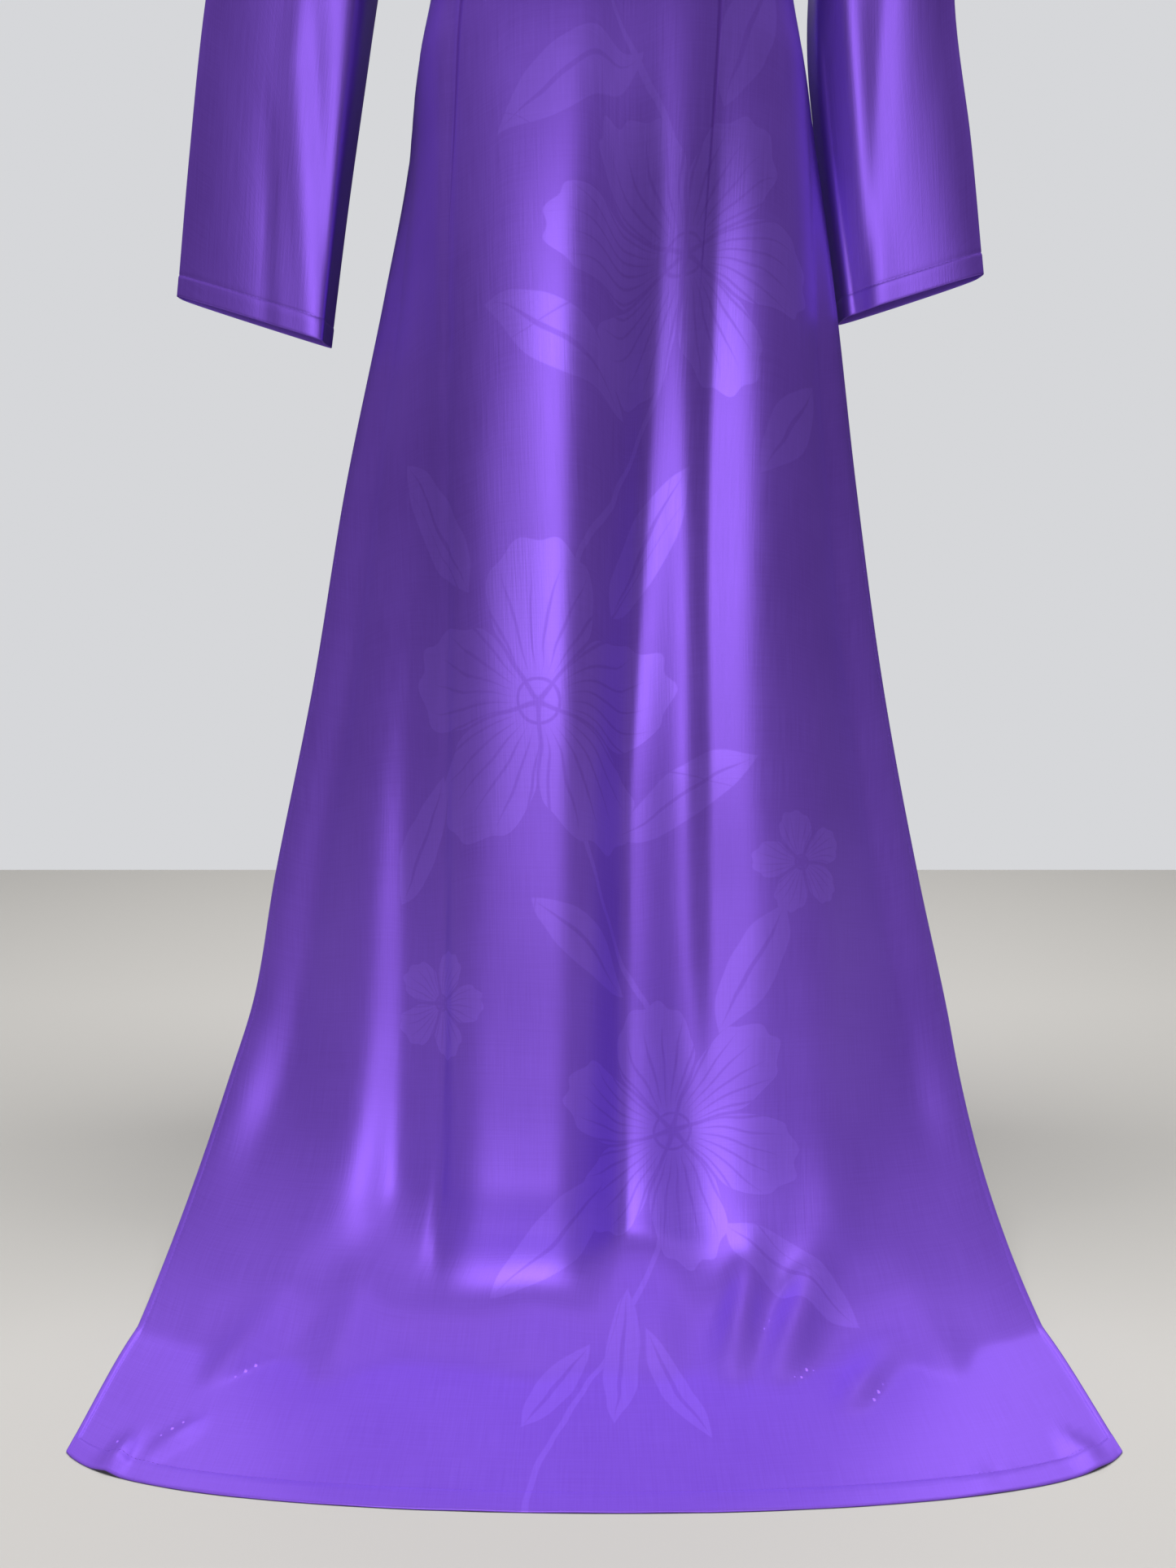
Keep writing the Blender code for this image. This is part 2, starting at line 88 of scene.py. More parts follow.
#    name        edge    right  left   edge     centre  centre  turn
#                height  x      x      y        height  y
FRONT_BODY = (
    ("underarm", 1.145,  0.150, 0.150, 0.000,   1.100, -0.115,  1.00),
    ("bust",     1.100,  0.147, 0.147, 0.000,   1.062, -0.108,  1.00),
    ("ribs",     1.050,  0.134, 0.134, 0.000,   1.026, -0.094,  1.00),
    ("waist",    1.000,  0.124, 0.124, 0.000,   0.988, -0.085,  1.00),
    ("belly",    0.953,  0.128, 0.129, 0.000,   0.948, -0.087,  1.00),
    ("hip",      0.900,  0.142, 0.142, 0.000,   0.900, -0.094,  1.00),
    ("slit",     0.843,  0.150, 0.153, 0.000,   0.843, -0.101,  0.98),
    ("thigh",    0.750,  0.169, 0.167, -0.012,  0.750, -0.107,  0.92),
    ("mid",      0.608,  0.204, 0.189, -0.015,  0.608, -0.112,  0.84),
    ("knee",     0.457,  0.235, 0.216, -0.018,  0.457, -0.118,  0.76),
    ("calf",     0.299,  0.272, 0.251, -0.026,  0.299, -0.123,  0.70),
    ("shin",     0.190,  0.294, 0.277, -0.038,  0.184, -0.130,  0.66),
    ("ankle",    0.143,  0.308, 0.284, -0.056,  0.134, -0.136,  0.64),
    ("foot",     0.075,  0.328, 0.297, -0.090,  0.068, -0.153,  0.64),
    ("bend",     0.022,  0.343, 0.310, -0.139,  0.017, -0.184,  0.66),
    ("floor",    LYING,  0.348, 0.316, -0.178,  LYING, -0.222,  0.72),
    ("hem",      LYING,  0.347, 0.320, -0.299,  LYING, -0.347,  0.85),
)
#    right  left   edge    centre
#    x      x      y       y
BACK_SHAPE = (
    (0.150, 0.150, 0.000,   0.096),
    (0.147, 0.147, 0.000,   0.088),
    (0.134, 0.134, 0.000,   0.079),
    (0.124, 0.124, 0.000,   0.076),
    (0.128, 0.129, 0.000,   0.086),
    (0.142, 0.142, 0.000,   0.102),
    (0.150, 0.153, 0.000,   0.112),
    (0.160, 0.158, 0.012,   0.118),
    (0.181, 0.171, 0.020,   0.123),
    (0.206, 0.190, 0.028,   0.130),
    (0.233, 0.214, 0.040,   0.138),
    (0.250, 0.231, 0.054,   0.149),
    (0.259, 0.240, 0.066,   0.157),
    (0.272, 0.252, 0.092,   0.174),
    (0.284, 0.264, 0.128,   0.204),
    (0.288, 0.269, 0.160,   0.236),
    (0.291, 0.275, 0.280,   0.352),
)
BACK_BODY = [(*front[:2], *back[:3], front[5], back[3], front[7])
             for front, back in zip(FRONT_BODY, BACK_SHAPE)]
print(len(FRONT_BODY), "front sections,", len(BACK_BODY), "back sections")

# %% [markdown]
# Between the tabled sections the cloth runs along smooth curves. A cubic Hermite curve is the
# simplest one that passes through every known value without overshooting much. Lengths are
# measured along the cloth, because hems and stitches keep a true distance from an edge.

# %% Curve helpers
def unit(vectors):
    return vectors / np.linalg.norm(vectors, axis=-1, keepdims=True)


def running_length(points):
    steps = np.linalg.norm(np.diff(points, axis=0), axis=-1)
    return np.concatenate((np.zeros_like(steps[:1]), np.cumsum(steps, axis=0)))


def smooth(rows, known, wanted):
    """Rows of values, known at some places, read at the wanted places along smooth curves."""
    rows = np.array(rows, float)
    slopes = np.gradient(rows, known, axis=0)
    first = np.clip(np.searchsorted(known, wanted, side="right") - 1, 0, len(known) - 2)
    span = (known[first + 1] - known[first])[:, None]
    t = (wanted[:, None] - known[first][:, None]) / span
    start = (1 + 2 * t) * (1 - t) ** 2 * rows[first] + t * (1 - t) ** 2 * span * slopes[first]
    end = t * t * (3 - 2 * t) * rows[first + 1] - t * t * (1 - t) * span * slopes[first + 1]
    return start + end


def ease(value):
    value = np.clip(value, 0.0, 1.0)
    return value * value * (3 - 2 * value)


# %% [markdown]
# One section is a flattened half round. Its columns are evenly spaced along the cloth, apart
# from a few narrow ones beside each edge, which give the rolled hem and the seams their shape.

# %% One section
FLATNESS = 0.62  # 1 is an ellipse, and less has a flatter front and rounder sides
EDGE_PLACES = (0.0, 0.0005, 0.0015, 0.0030, 0.0044, 0.0052, 0.0062, 0.0095)
CURVE_STEPS = 300
LEAST_COSINE = 1e-4  # keeps the slope finite where the section turns back at its edge


def column_places(length, columns):
    """Distances from the centre line to each column of one half."""
    edge = length - np.array(EDGE_PLACES)
    return np.concatenate([np.linspace(0.0, edge[-1], columns + 1)[:-1], edge[::-1]])


def section(row, columns):
    """A section's points, their level outward directions and their shares of the half length."""
    edge_height, right_x, left_x, edge_y, centre_height, centre_y, turn = row
    quarter = turn * math.pi / 2
    lowest = max(math.cos(quarter), 0.0) ** FLATNESS
    depth = (centre_y - edge_y) / (1 - lowest)

    def curve(angle, half_width):
        x = half_width * np.sin(angle) / math.sin(quarter)
        y = edge_y + depth * (np.maximum(np.cos(angle), 0.0) ** FLATNESS - lowest)
        height = centre_height + (edge_height - centre_height) * (angle / quarter) ** 2
        return np.stack([x, y, height], axis=-1)

    halves = []
    for side, half_width in ((-1, right_x), (1, left_x)):
        dense = np.linspace(0.0, quarter, CURVE_STEPS)
        length = running_length(curve(dense, half_width))
        places = column_places(length[-1], columns)
        angle = np.interp(places, length, dense)
        points = curve(angle, half_width)
        cosine = np.maximum(np.cos(angle), LEAST_COSINE)
        slope_x = half_width * cosine / math.sin(quarter)
        slope_y = depth * FLATNESS * cosine ** (FLATNESS - 1) * np.sin(angle)
        outward = unit(np.stack([slope_y, slope_x, np.zeros_like(angle)], axis=-1))
        outward *= math.copysign(1.0, depth)
        share = places / length[-1]
        for values in (points, outward):
            values[:, 0] *= side
        halves.append((points, outward, share * side))
    right, left = halves
    return [np.concatenate([a[:0:-1], b]) for a, b in zip(right, left)]


# %% [markdown]
# Satin hangs in long soft folds that start at the hip and run to the floor. Each fold is a
# ridge or a trough that the panel is pushed out or in by. The sharpness is the power in the
# fold's bell curve: 2 is a soft roll, and 1 is a crease with a line at its bottom.

# %% Hanging folds
#    top     fade   x at    x at    x at    bottom  depth    width   width   sharpness
#    height         top     middle  bottom  height           right   left
FRONT_FOLDS = (
    (0.960,  0.10,  -0.106, -0.120, -0.133, 0.030,  -0.004,  0.005,  0.008,  1.2),
    (0.560,  0.30,  -0.150, -0.160, -0.168, 0.050,  -0.014,  0.024,  0.036,  1.9),
    (0.900,  0.18,  -0.066, -0.067, -0.070, 0.060,  0.013,   0.056,  0.056,  5.0),
    (0.860,  0.20,  -0.215, -0.235, -0.290, 0.080,  -0.018,  0.070,  0.080,  2.0),
    (0.760,  0.24,  0.036,  0.016,  0.012,  0.030,  -0.029,  0.024,  0.052,  2.0),
    (0.880,  0.20,  0.076,  0.077,  0.080,  0.190,  -0.011,  0.016,  0.034,  1.9),
    (0.860,  0.20,  0.205,  0.225,  0.275,  0.080,  -0.018,  0.095,  0.095,  2.2),
    (0.400,  0.16,  0.152,  0.160,  0.172,  0.050,  0.005,   0.024,  0.024,  2.0),
)
BACK_FOLDS = (
    (0.780,  0.14,  -0.105, -0.118, -0.135, 0.070,  -0.011,  0.018,  0.024,  1.3),
    (0.700,  0.14,  -0.050, -0.060, -0.072, 0.060,  0.009,   0.030,  0.030,  2.0),
    (0.740,  0.16,  0.012,  0.006,  0.000,  0.050,  -0.013,  0.026,  0.022,  1.6),
    (0.620,  0.12,  0.060,  0.066,  0.075,  0.080,  0.008,   0.028,  0.028,  2.0),
    (0.800,  0.14,  0.108,  0.118,  0.132,  0.120,  -0.009,  0.024,  0.018,  1.5),
)
FADE_SHARE = 0.7  # share of a fold's bottom height over which it dies out, up and down
CALM_EDGE = 0.16  # share of a half section, beside its edge, over which the folds die out


def fold_depth(folds, x, height, across):
    """How far the panel's folds move its points outwards."""
    total = np.zeros_like(x)
    for top, fade, x_top, x_middle, x_bottom, bottom, depth, right, left, sharpness in folds:
        down = (top - height) / (top - bottom)
        line = np.interp(down, (0.0, 0.5, 1.0), (x_top, x_middle, x_bottom))
        fade_in = ease((top + fade - height) / (2 * fade))
        reach = FADE_SHARE * bottom
        fade_out = ease((height - bottom + reach) / (2 * reach))
        width = np.where(x < line, right, left)
        total += depth * fade_in * fade_out * np.exp(-np.abs((x - line) / width) ** sharpness)
    return total * ease((1 - np.abs(across)) / CALM_EDGE)


# %% [markdown]
# The neck seam is a tilted oval, and the raglan seams run from it to the underarms. Front,
# back and sleeves all meet along these same curves, so each is worked out once.

# %% Neck and raglan seams
NECK_HALF_WIDTH = 0.058
NECK_FRONT_Y = -0.068
NECK_BACK_Y = 0.050
NECK_MEAN_HEIGHT = 1.345
NECK_TILT = 0.027
RAGLAN_FRONT_ANGLE = 50.0
RAGLAN_BACK_ANGLE = 140.0
UNDERARM = (0.150, 0.000, 1.145)
#               x      y       height
RAGLAN_FRONT = ((0.070, -0.074, 1.275),
                (0.100, -0.083, 1.218),
                (0.132, -0.058, 1.168))
RAGLAN_BACK = ((0.071, 0.066, 1.292),
               (0.106, 0.080, 1.225),
               (0.136, 0.056, 1.170))
RAGLAN_ROWS = 40
NECK_STEPS = 20
YOKE_SAG = 1.5
YOKE_FULLNESS = 0.012
YOKE_FLATTENING = 0.35


def neck_point(degrees):
    """The neck seam, by degrees round from the front, counted towards the wearer's left."""
    angle = math.radians(degrees)
    middle_y = (NECK_FRONT_Y + NECK_BACK_Y) / 2
    half_depth = (NECK_BACK_Y - NECK_FRONT_Y) / 2
    return (NECK_HALF_WIDTH * math.sin(angle),
            middle_y - half_depth * math.cos(angle),
            NECK_MEAN_HEIGHT - NECK_TILT * math.cos(angle))


def raglan_line(middle_points, neck_angle):
    """A raglan seam on the wearer's left, from the underarm up to the neck seam."""
    points = np.array([UNDERARM, *reversed(middle_points), neck_point(neck_angle)])
    known = running_length(points)
    return smooth(points, known, np.linspace(0.0, known[-1], RAGLAN_ROWS + 1))


front_seam = raglan_line(RAGLAN_FRONT, RAGLAN_FRONT_ANGLE)
back_seam = raglan_line(RAGLAN_BACK, RAGLAN_BACK_ANGLE)
print("raglan seams", running_length(front_seam)[-1].round(3), running_length(back_seam)[-1].round(3))

# %% [markdown]
# Each body panel is one cut from the hem to the neck. Rows are close together beside the hem,
# where the turned band and its stitch line are, then even up the skirt. Above the slit they
# follow the side seam, and above the underarm they run between the two raglan seams.

# %% Body panels
HEM_PLACES = (0.0, 0.0006, 0.0020, 0.0050, 0.0090, 0.0130, 0.0142, 0.0150, 0.0158, 0.0170, 0.0200)
SIDE_SEAM_ROWS = 44
FRONT_MESH = (64, 160)  # columns of each half, rows of the skirt
BACK_MESH = (44, 110)


def panel_sections(table, skirt_rows):
    """The sections of a body panel from the hem up to the underarm."""
    values = np.array([row[1:] for row in reversed(table)], float)
    known = running_length(values[:, [0, 1, 3]])
    slit = [row[0] for row in reversed(table)].index("slit")
    even = np.linspace(HEM_PLACES[-1], known[slit], skirt_rows + 1)[1:-1]
    skirt = np.concatenate([HEM_PLACES, even])
    side = np.linspace(known[slit], known[-1], SIDE_SEAM_ROWS + 1)
    sewn = smooth(values, known, side)
    sewn[:, :4] = smooth(values[slit:, :4], known[slit:], side)
    return np.concatenate([smooth(values, known, skirt), sewn])


def yoke(underarm_row, columns, raglan, neck_angles):
    """The rows from the underarm to the neck seam, between the two raglan seams."""
    underarm_centre = np.array([0.0, underarm_row[6], underarm_row[5]])
    neck_centre = np.array(neck_point(sum(neck_angles) / 2))
    arcs = []
    for step, edge in enumerate(raglan):
        share = (step / RAGLAN_ROWS) ** YOKE_SAG
        centre = underarm_centre + (neck_centre - underarm_centre) * share
        centre[1] += math.copysign(YOKE_FULLNESS * math.sin(math.pi * share), neck_centre[1])
        row = (edge[2], edge[0], edge[0], edge[1], centre[2], centre[1], 1 - YOKE_FLATTENING * share)
        points, outward, across = section(row, columns)
        arcs.append(points)
    neck = np.array([neck_point(angle) for angle in np.interp(across, (-1, 1), neck_angles)])
    miss = neck - arcs[-1]
    return [arc + miss * (step / RAGLAN_ROWS) ** 2 for step, arc in enumerate(arcs)][1:]


def body_panel(table, folds, mesh_size, raglan, neck_angles):
    columns, skirt_rows = mesh_size
    grid = []
    for row in panel_sections(table, skirt_rows):
        points, outward, across = section(row, columns)
        points += outward * fold_depth(folds, points[:, 0], points[:, 2], across)[:, None]
        grid.append(points)
    return np.array(grid + yoke(table[0], columns, raglan, neck_angles))


front_grid = body_panel(FRONT_BODY, FRONT_FOLDS, FRONT_MESH, front_seam,
                        (-RAGLAN_FRONT_ANGLE, RAGLAN_FRONT_ANGLE))
back_grid = body_panel(BACK_BODY, BACK_FOLDS, BACK_MESH, back_seam,
                       (-RAGLAN_BACK_ANGLE, RAGLAN_BACK_ANGLE - 360))
print("front grid", front_grid.shape, "back grid", back_grid.shape)

# %% [markdown]
# A raglan sleeve is a tube of rings. Each ring slants from its outer point, down the outside
# of the arm, to its inner one. The first ring is the raglan loop itself, whose shape fades out
# down the sleeve, and the last one is the cuff.

# %% Sleeves
#    outer          inner          front  back
#    x      height  x      height  depth  depth
RIGHT_SLEEVE = (
    (0.058,  1.345,  0.150, 1.145,  0.062, 0.058),
    (0.104,  1.335,  0.156, 1.144,  0.062, 0.060),
    (0.148,  1.316,  0.161, 1.138,  0.059, 0.058),
    (0.186,  1.283,  0.163, 1.127,  0.056, 0.056),
    (0.214,  1.235,  0.162, 1.108,  0.053, 0.054),
    (0.246,  1.140,  0.162, 1.063,  0.046, 0.047),
    (0.270,  1.045,  0.166, 1.000,  0.038, 0.039),
    (0.294,  0.949,  0.179, 0.925,  0.031, 0.031),
    (0.313,  0.850,  0.199, 0.820,  0.025, 0.025),
    (0.330,  0.750,  0.218, 0.715,  0.019, 0.019),
)
LEFT_SLEEVE = (
    (0.058,  1.345,  0.150, 1.145,  0.062, 0.058),
    (0.102,  1.335,  0.156, 1.144,  0.062, 0.060),
    (0.142,  1.316,  0.160, 1.138,  0.060, 0.059),
    (0.178,  1.284,  0.162, 1.127,  0.057, 0.057),
    (0.205,  1.235,  0.160, 1.108,  0.054, 0.055),
    (0.229,  1.140,  0.156, 1.063,  0.050, 0.050),
    (0.238,  1.045,  0.149, 1.012,  0.043, 0.043),
    (0.244,  0.944,  0.147, 0.925,  0.035, 0.035),
    (0.262,  0.853,  0.161, 0.830,  0.028, 0.028),
    (0.277,  0.762,  0.178, 0.734,  0.022, 0.022),
)
RAGLAN_BLEND = 0.42  # share of the sleeve over which the raglan loop's shape fades out
SLEEVE_RINGS = 110
SLEEVE_FLATNESS = 0.48  # 1 is an ellipse, less is flatter in front and behind
RIGHT_SLEEVE_LEAN = 0.62
RIGHT_SLEEVE_YAW = 0.005
LEFT_SLEEVE_LEAN = 0.40
LEFT_SLEEVE_YAW = -0.010
#    top     fade   x at   x at    x at   bottom  depth    inner   outer   sharpness
#    height         top    middle  bottom height           width   width
RIGHT_SLEEVE_FOLDS = (
    (1.080,  0.05,  0.190, 0.200,  0.212, 0.980,  -0.004,  0.010,  0.014,  1.6),
    (1.010,  0.05,  0.205, 0.214,  0.224, 0.900,  0.003,   0.012,  0.010,  2.0),
    (0.850,  0.06,  0.248, 0.254,  0.260, 0.690,  -0.002,  0.004,  0.010,  1.2),
)
LEFT_SLEEVE_FOLDS = (
    (1.060,  0.05,  0.170, 0.178,  0.190, 0.960,  -0.004,  0.012,  0.010,  1.6),
    (1.000,  0.08,  0.139, 0.163,  0.194, 0.690,  -0.005,  0.005,  0.012,  1.2),
    (1.000,  0.08,  0.154, 0.180,  0.208, 0.690,  0.003,   0.008,  0.012,  2.0),
)


def sleeve(table, folds, side, lean, yaw):
    """A sleeve as closed rings from the raglan loop down to the cuff.

    At the cuff its deepest place lies inwards by lean, a share of its half width, and its outer
    edge is turned back by yaw."""
    neck_angles = np.linspace(RAGLAN_FRONT_ANGLE, RAGLAN_BACK_ANGLE, NECK_STEPS + 1)
    neck_edge = [neck_point(angle) for angle in neck_angles]
    loop = np.array([*front_seam, *neck_edge[1:], *back_seam[-2:0:-1]])
    count = len(loop)
    turn = math.pi - 2 * math.pi * np.arange(count) / count
    forwards = np.sin(turn)
    fullness = np.abs(forwards) ** SLEEVE_FLATNESS

    def ring(row, down):
        leaning = lean * down * forwards ** 2
        outer = np.array([row[0], 0.0, row[1]])
        inner = np.array([row[2], 0.0, row[3]])
        outwards = np.cos(turn) - leaning
        points = (outer + inner) / 2 + (outer - inner) / 2 * outwards[:, None]
        points[:, 1] -= np.where(forwards > 0, row[4], row[5]) * np.sign(forwards) * fullness
        points[:, 1] += yaw * down * outwards
        return points

    values = np.array(table)
    known = running_length((values[:, 0:2] + values[:, 2:4]) / 2)
    even = np.linspace(0.0, known[-1] - HEM_PLACES[-1], SLEEVE_RINGS + 1)
    places = np.concatenate([even, known[-1] - np.array(HEM_PLACES[-2::-1])])
    rows = smooth(values, known, places)
    miss = loop - ring(rows[0], 0.0)
    grid = []
    for down, row in zip(places / known[-1], rows):
        points = ring(row, down) + miss * (1 - ease(down / RAGLAN_BLEND))
        crease = fold_depth(folds, points[:, 0], points[:, 2], 0.0)
        points[:, 1] -= crease * np.sqrt(np.maximum(forwards, 0.0))
        grid.append(points)
    return np.array(grid) * (side, 1, 1)


right_sleeve_grid = sleeve(RIGHT_SLEEVE, RIGHT_SLEEVE_FOLDS, -1, RIGHT_SLEEVE_LEAN, RIGHT_SLEEVE_YAW)
left_sleeve_grid = sleeve(LEFT_SLEEVE, LEFT_SLEEVE_FOLDS, 1, LEFT_SLEEVE_LEAN, LEFT_SLEEVE_YAW)
print("sleeve grids", right_sleeve_grid.shape, left_sleeve_grid.shape)

# %% [markdown]
# The stand collar follows the neck seam all round and its two ends meet at the centre front,
# where they lean a little apart.

# %% Collar
COLLAR_HEIGHT = 0.038
COLLAR_LEAN = 0.005
COLLAR_NOTCH = 0.003
COLLAR_NOTCH_REACH = 0.012
COLLAR_ROWS = 12


def collar_grid(front_top, back_top):
    middle = len(front_top) // 2
    side_angles = np.linspace(RAGLAN_FRONT_ANGLE, RAGLAN_BACK_ANGLE, NECK_STEPS + 1)
    left_side = np.array([neck_point(angle) for angle in side_angles[1:-1]])
    right_side = left_side[::-1] * (-1, 1, 1)
    seam = np.concatenate([front_top[middle:], left_side, back_top[::-1], right_side,
                           front_top[:middle + 1]])
    inwards = unit((seam.mean(axis=0) - seam) * (1, 1, 0))
    distance = running_length(seam)
    from_end = np.minimum(distance, distance[-1] - distance)
    sideways = np.exp(-from_end / COLLAR_NOTCH_REACH) * COLLAR_NOTCH
    sideways[len(seam) // 2:] *= -1
    grid = []
    for step in range(COLLAR_ROWS + 1):
        up = step / COLLAR_ROWS
        row = seam + inwards * COLLAR_LEAN * up
        row[:, 2] += COLLAR_HEIGHT * up
        row[:, 0] += sideways * up
        grid.append(row)
    return np.array(grid)


collar_points = collar_grid(front_grid[-1], back_grid[-1])

# %% [markdown]
# A grid of middle points becomes a closed wall: an outer layer, an inner layer and rims.
# Numpy builds all of it at once, which is much quicker than adding faces one by one. The UV
# map holds real metres along the cloth, so weave and figure keep their size on every piece.

# %% Walls from grids
def grid_normals(grid, ring, outside):
    """Unit normals over a grid, on the side of the outside point for its middle point."""
    if ring:
        across = np.roll(grid, -1, axis=1) - np.roll(grid, 1, axis=1)
    else:
        across = np.gradient(grid, axis=1)
    normals = unit(np.cross(across, np.gradient(grid, axis=0)))
    row, column = grid.shape[0] // 2, grid.shape[1] // 2
    if np.dot(normals[row, column], np.array(outside) - grid[row, column]) < 0:
        normals = -normals
    return normals


def cut_coordinates(grid):
    """Metres across from the centre column and up from the first row, along the cloth."""
    rows, columns = grid.shape[:2]
    across = running_length(np.swapaxes(grid, 0, 1)).T
    across = across - across[:, columns // 2][:, None]
    return np.stack([across, running_length(grid)], axis=-1)


def closed_cut(grid, cut):
    """The cut coordinates of a tube, with one more column where it closes."""
    gap = np.linalg.norm(grid[:, 0] - grid[:, -1], axis=-1)
    last = cut[:, -1:] + np.stack([gap, np.zeros_like(gap)], axis=-1)[:, None]
    return np.concatenate([cut, last], axis=1)


def corners(numbers):
    """The four corners of every square of a grid of numbers."""
    around = (numbers[:-1, :-1], numbers[:-1, 1:], numbers[1:, 1:], numbers[1:, :-1])
    return np.stack(around, axis=-1).reshape(-1, 4)


def rim(line, inner_step):
    """The squares that join a line of outer points to the inner points under it."""
    return np.stack([line[:-1], line[1:], line[1:] + inner_step, line[:-1] + inner_step], axis=-1)


def wall(name, grid, normals, cut, thickness, ring=False):
    """A closed cloth wall, whose outer layer comes first in its points and faces."""
    rows, columns = grid.shape[:2]
    half = (thickness / 2)[..., None] * normals
    points = np.concatenate([(grid + half).reshape(-1, 3), (grid - half).reshape(-1, 3)])
    points -= (0.0, 0.0, NECK_HEIGHT)
    number = np.arange(rows * columns).reshape(rows, columns)
    if ring:
        number = np.concatenate([number, number[:, :1]], axis=1)
        cut = closed_cut(grid, cut)
    spot = np.arange(number.size).reshape(number.shape)
    inner_step = rows * columns
    faces = [corners(number), corners(number)[:, ::-1] + inner_step]
    spots = [corners(spot), corners(spot)[:, ::-1]]
    for end, way in ((0, -1), (-1, 1)):
        faces.append(rim(number[end][::way], inner_step))
        spots.append(rim(spot[end][::way], 0))
        if not ring:
            faces.append(rim(number[:, end][::-way], inner_step))
            spots.append(rim(spot[:, end][::-way], 0))
    count = len(faces[0])
    faces, spots = np.concatenate(faces), np.concatenate(spots)
    first = points[faces[0]]
    facing = np.dot(np.cross(first[1] - first[0], first[3] - first[0]), normals[0, 0])
    if facing < 0:
        faces, spots = faces[:, ::-1], spots[:, ::-1]
    mesh = bpy.data.meshes.new(name)
    mesh.vertices.add(len(points))
    mesh.vertices.foreach_set("co", points.astype(np.float32).ravel())
    mesh.loops.add(faces.size)
    mesh.loops.foreach_set("vertex_index", faces.astype(np.int32).ravel())
    mesh.polygons.add(len(faces))
    mesh.polygons.foreach_set("loop_start", np.arange(0, faces.size, 4, dtype=np.int32))
    side = np.zeros(len(faces), np.int32)
    side[count:2 * count] = 1
    mesh.polygons.foreach_set("material_index", side)
    layer = mesh.uv_layers.new(name="cut")
    layer.data.foreach_set("uv", cut.reshape(-1, 2)[spots.ravel()].astype(np.float32).ravel())
    mesh.update(calc_edges=True)
    mesh.shade_smooth()
    print(name, len(faces) * 2, "triangles")
    return new_object(name, mesh)


# %% [markdown]
# Hems and seams are what tell a sewn garment from a bent sheet. A hem is turned under, so it is
# thicker, and its row of stitches pulls the cloth in. A seam is a narrow groove, and the cloth
# beside it puckers a little. Both are worked out from each point's distance to its edge.

# %% Hems and seams
HEM_BAND = 0.015
EDGE_HEM = 0.0048
HEM_EXTRA = 0.0007
HEM_STEP = 0.0012  # distance over which a turned hem rises above the single cloth
EDGE_ROUNDING = 0.0008
EDGE_START = 0.35
STITCH_DIP = 0.00035
STITCH_REACH = 0.0007
SEAM_DIP = 0.0006
SEAM_REACH = 0.0010
SLIT_HEIGHT = 0.843
SLIT_FADE = 0.012
PUCKER = 0.0004
PUCKER_REACH = 0.007
PUCKER_START = 0.004
#    radians  offset
#    a metre
SEAM_PUCKERS = (
    (410,     0.0),
    (97,      1.3),
    (233,     0.4),
)


def turned(distance, width):
    """How much thicker the cloth is at a distance from an edge with a turned hem."""
    rise = ease((width - distance) / HEM_STEP + 0.5)
    return HEM_EXTRA * rise * ease(distance / EDGE_ROUNDING + EDGE_START)


def stitched(distance, width):
    """How far the stitch line of a hem pulls the cloth in."""
    return -STITCH_DIP * np.exp(-((distance - width) / STITCH_REACH) ** 2)


def sewn(distance, along):
    """How far a seam pulls the cloth in, with uneven puckers along it."""
    fine, slow, extra = (np.sin(along * rate + offset) for rate, offset in SEAM_PUCKERS)
    wave = fine * slow + 0.5 * extra
    fade = np.exp(-distance / PUCKER_REACH)
    groove = -SEAM_DIP * np.exp(-(distance / SEAM_REACH) ** 2)
    return groove + PUCKER * wave * fade * ease(distance / PUCKER_START)


def panel_finish(grid, normals):
    """The panel's points with seams and stitch lines pulled in, and its thickness."""
    across = running_length(np.swapaxes(grid, 0, 1)).T
    from_side = np.minimum(across, across[:, -1:] - across)
    up = running_length(grid)
    from_neck = up[-1] - up
    edge_height = np.minimum(grid[:, :1, 2], grid[:, -1:, 2])
    closed = ease((edge_height - SLIT_HEIGHT) / SLIT_FADE + 0.5) * np.ones_like(from_side)
    move = closed * sewn(from_side, up) + sewn(from_neck, across)
    move += (1 - closed) * stitched(from_side, EDGE_HEM) + stitched(up, HEM_BAND)
    thick = CLOTH + (1 - closed) * turned(from_side, EDGE_HEM)
    thick = np.maximum(thick, CLOTH + turned(up, HEM_BAND))
    return grid + normals * move[..., None], thick


print("hem band", HEM_BAND * 1000, "mm, slit edge hem", EDGE_HEM * 1000, "mm")

# %% [markdown]
# No cloth lies dead flat. Where the panels trail on the floor, their weight pushes up short
# soft waves in line with the folds above, and the hem's corners lift a little. Everywhere else
# satin has a faint, wide ripple. Both come from short formulas, so nothing is random.

# %% Waves on the floor and ripples
#    x       y       half    half    degrees  height
#                    length  width
FRONT_WAVES = (
    (0.094,  -0.186, 0.042,  0.013,  72,      0.018),
    (0.134,  -0.190, 0.044,  0.014,  62,      0.018),
    (0.168,  -0.240, 0.038,  0.015,  50,      0.010),
    (0.232,  -0.205, 0.050,  0.022,  105,     0.006),
    (0.030,  -0.196, 0.040,  0.020,  88,      0.006),
    (-0.056, -0.200, 0.040,  0.030,  95,      0.006),
    (-0.190, -0.196, 0.050,  0.020,  76,      0.009),
    (-0.262, -0.206, 0.050,  0.018,  62,      0.009),
    (-0.276, -0.280, 0.026,  0.009,  48,      0.005),
    (-0.312, -0.300, 0.020,  0.007,  80,      0.005),
    (0.292,  -0.292, 0.024,  0.009,  110,     0.003),
)
